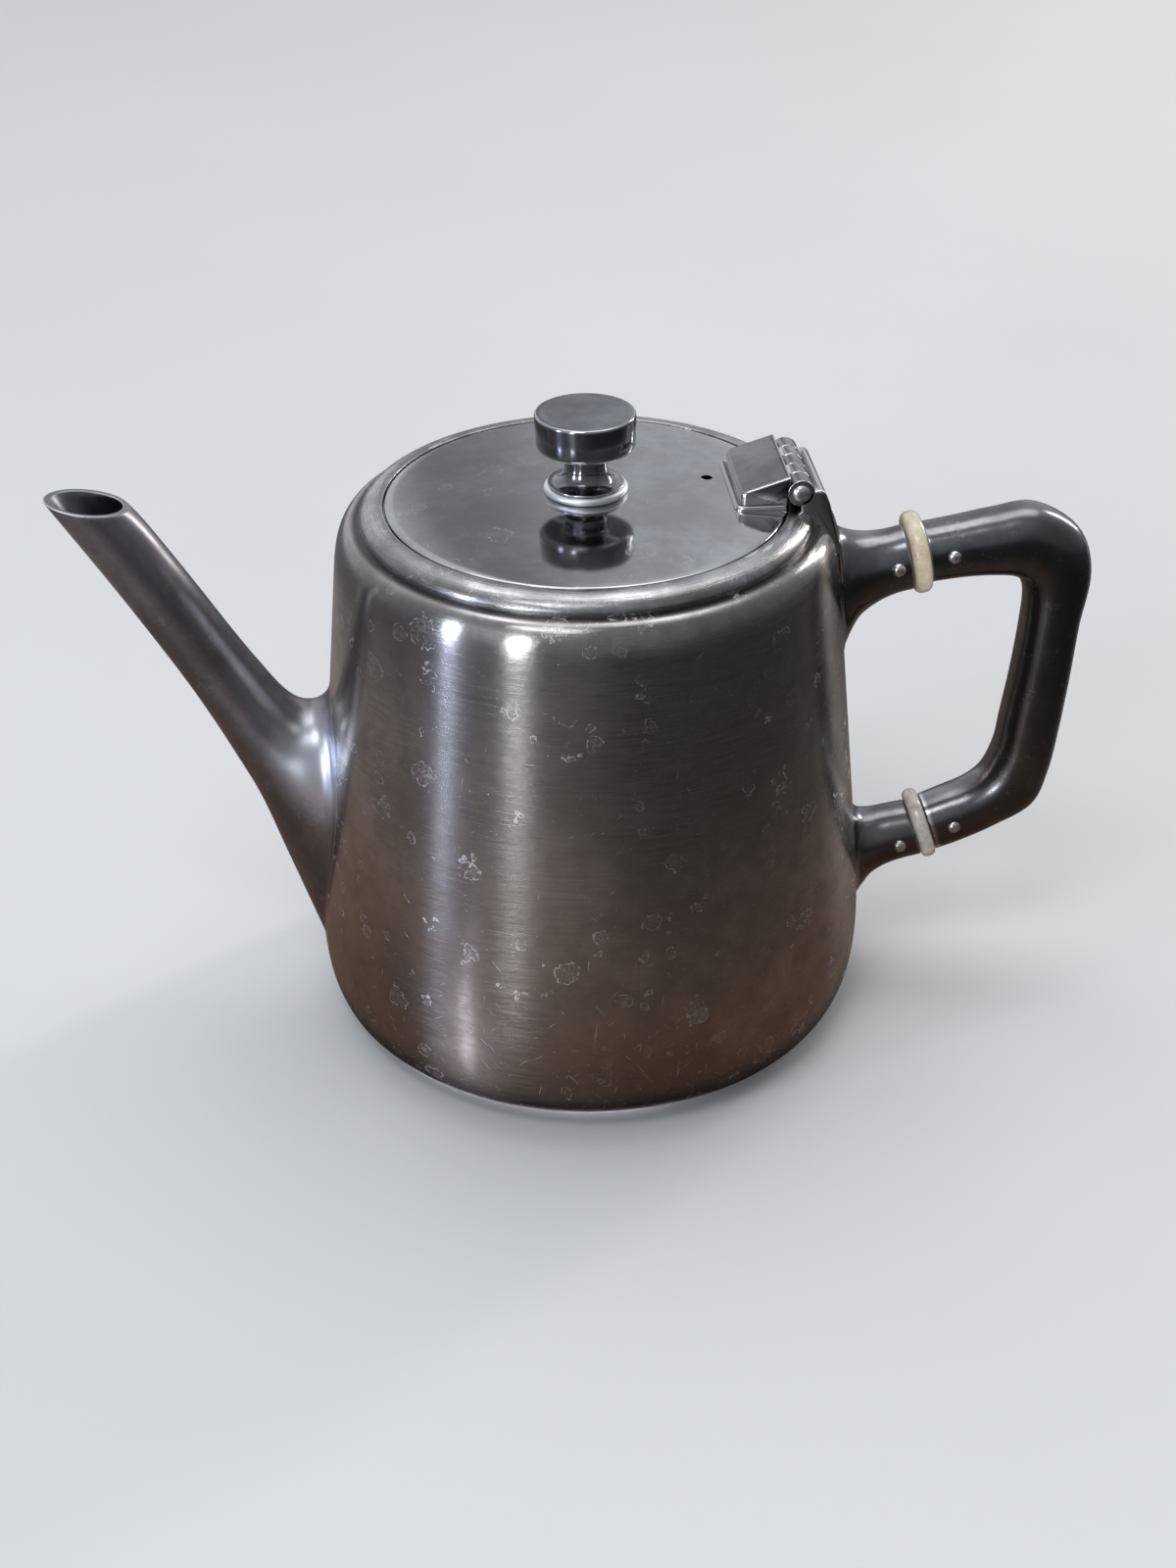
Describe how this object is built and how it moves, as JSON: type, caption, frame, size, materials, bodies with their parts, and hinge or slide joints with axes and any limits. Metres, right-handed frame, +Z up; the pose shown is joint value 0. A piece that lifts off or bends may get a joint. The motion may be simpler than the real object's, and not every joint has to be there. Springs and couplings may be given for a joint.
{
  "type": "teapot",
  "caption": "Tapered silver-plated teapot with a straight spout, a hinged lid with a drum knob, and a loop handle held between two insulating rings.",
  "frame": {"origin": "centre of the foot ring, on the plane that the pot stands on", "axes": "+Z up the body's axis, +X towards the handle, -X towards the spout"},
  "size_m": [0.1924, 0.107, 0.1232],
  "materials": {
    "body_silver": "old polished silver plate, lightly tarnished, water spots",
    "fitting_silver": "darker tarnished silver plate, polished on the crowns",
    "lid_silver": "polished silver plate, soft scratches",
    "pin_silver": "bright nickel silver",
    "cream_insulator": "yellowed ivory-coloured composition",
    "grey_insulator": "greyed ivory-coloured composition"
  },
  "bodies": {
    "pot": {"body_shell": "body_silver", "foot_ring": "body_silver", "mouth_ring": "body_silver", "spout": "fitting_silver", "upper_socket": "fitting_silver", "lower_socket": "fitting_silver", "upper_insulator": "cream_insulator", "lower_insulator": "grey_insulator", "handle_grip": "fitting_silver", "upper_socket_pin": "pin_silver", "upper_grip_pin": "pin_silver", "lower_socket_pin": "pin_silver", "lower_grip_pin": "pin_silver", "hinge_bracket": "fitting_silver", "hinge_pin": "pin_silver"},
    "lid": {"hinge_block": "lid_silver", "lid": "lid_silver", "lid_bezel": "lid_silver", "knob": "lid_silver", "knob_washer": "pin_silver", "knob_nut": "pin_silver"}
  },
  "joints": [
    {"name": "lid_hinge", "type": "hinge", "parent": "pot", "child": "lid", "pos_m": [0.0378, 0, 0.1099], "axis": [0, 1, 0], "range_deg": [0, 105]}
  ]
}
